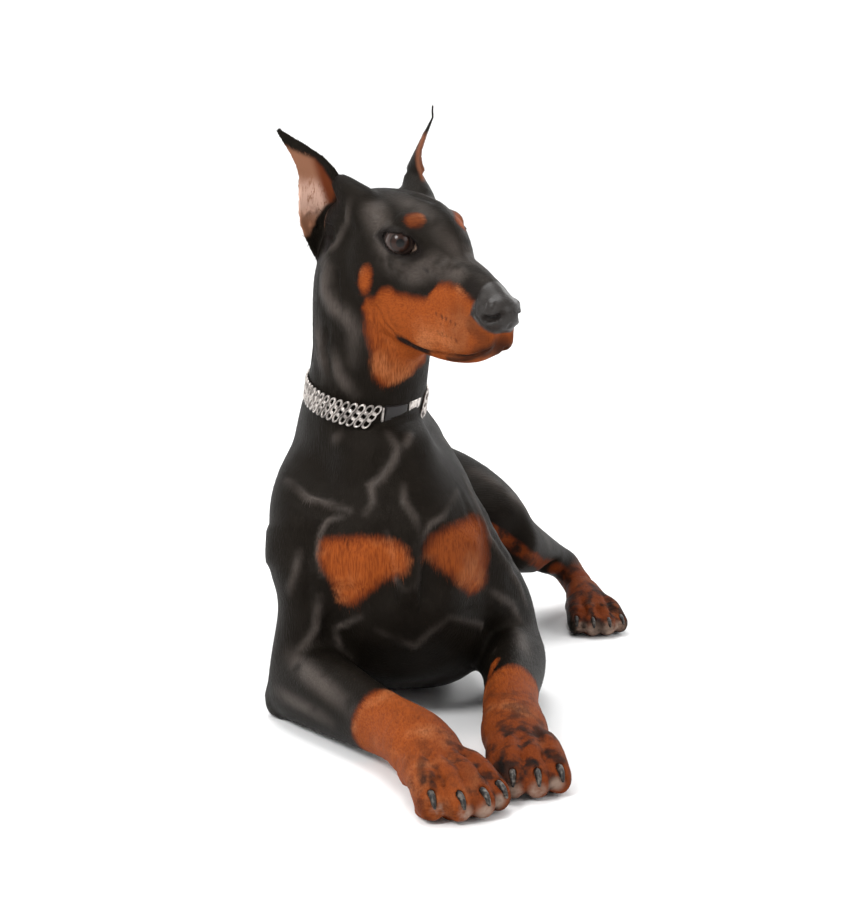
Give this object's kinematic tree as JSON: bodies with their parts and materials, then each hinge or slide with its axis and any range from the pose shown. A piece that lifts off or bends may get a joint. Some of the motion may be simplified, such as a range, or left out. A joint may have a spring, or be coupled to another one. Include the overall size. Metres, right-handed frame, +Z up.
{
  "type": "doberman dog model",
  "caption": "Life-size still model of a doberman dog lying with its chest up and head turned, black with rust marks, cropped ears and a chain collar.",
  "frame": {"origin": "on the floor, on the flat that the brisket rests on", "axes": "+Z up, -Y the way that the dog faces and its forelegs lie, +X its left side"},
  "size_m": [0.4384, 1.0529, 0.6649],
  "materials": {
    "black_coat": "short flat glossy black hair",
    "rust_coat": "short flat rust brown hair",
    "eye": "wet dark brown eye",
    "claw": "grey horn",
    "chain": "polished steel links",
    "clasp": "black moulded plastic"
  },
  "bodies": {
    "root": {"torso": "black_coat", "neck": "black_coat", "head": "black_coat", "tail": "black_coat", "foreleg_right": "black_coat", "foreleg_left": "black_coat", "shank_left": "black_coat", "thigh_left": "black_coat", "thigh_right": "black_coat", "ear_right": "black_coat", "ear_left": "black_coat", "forepaw_right": "rust_coat", "forepaw_left": "rust_coat", "hindpaw_left": "rust_coat", "hindpaw_right": "rust_coat", "eye_right": "eye", "eye_left": "eye", "claw_forepaw_right_1": "claw", "claw_forepaw_right_2": "claw", "claw_forepaw_right_3": "claw", "claw_forepaw_right_4": "claw", "claw_forepaw_left_1": "claw", "claw_forepaw_left_2": "claw", "claw_forepaw_left_3": "claw", "claw_forepaw_left_4": "claw", "claw_hindpaw_left_1": "claw", "claw_hindpaw_left_2": "claw", "claw_hindpaw_left_3": "claw", "claw_hindpaw_left_4": "claw", "claw_hindpaw_right_1": "claw", "claw_hindpaw_right_2": "claw", "claw_hindpaw_right_3": "claw", "claw_hindpaw_right_4": "claw", "collar_chain": "chain", "collar_clasp": "clasp"}
  },
  "joints": []
}
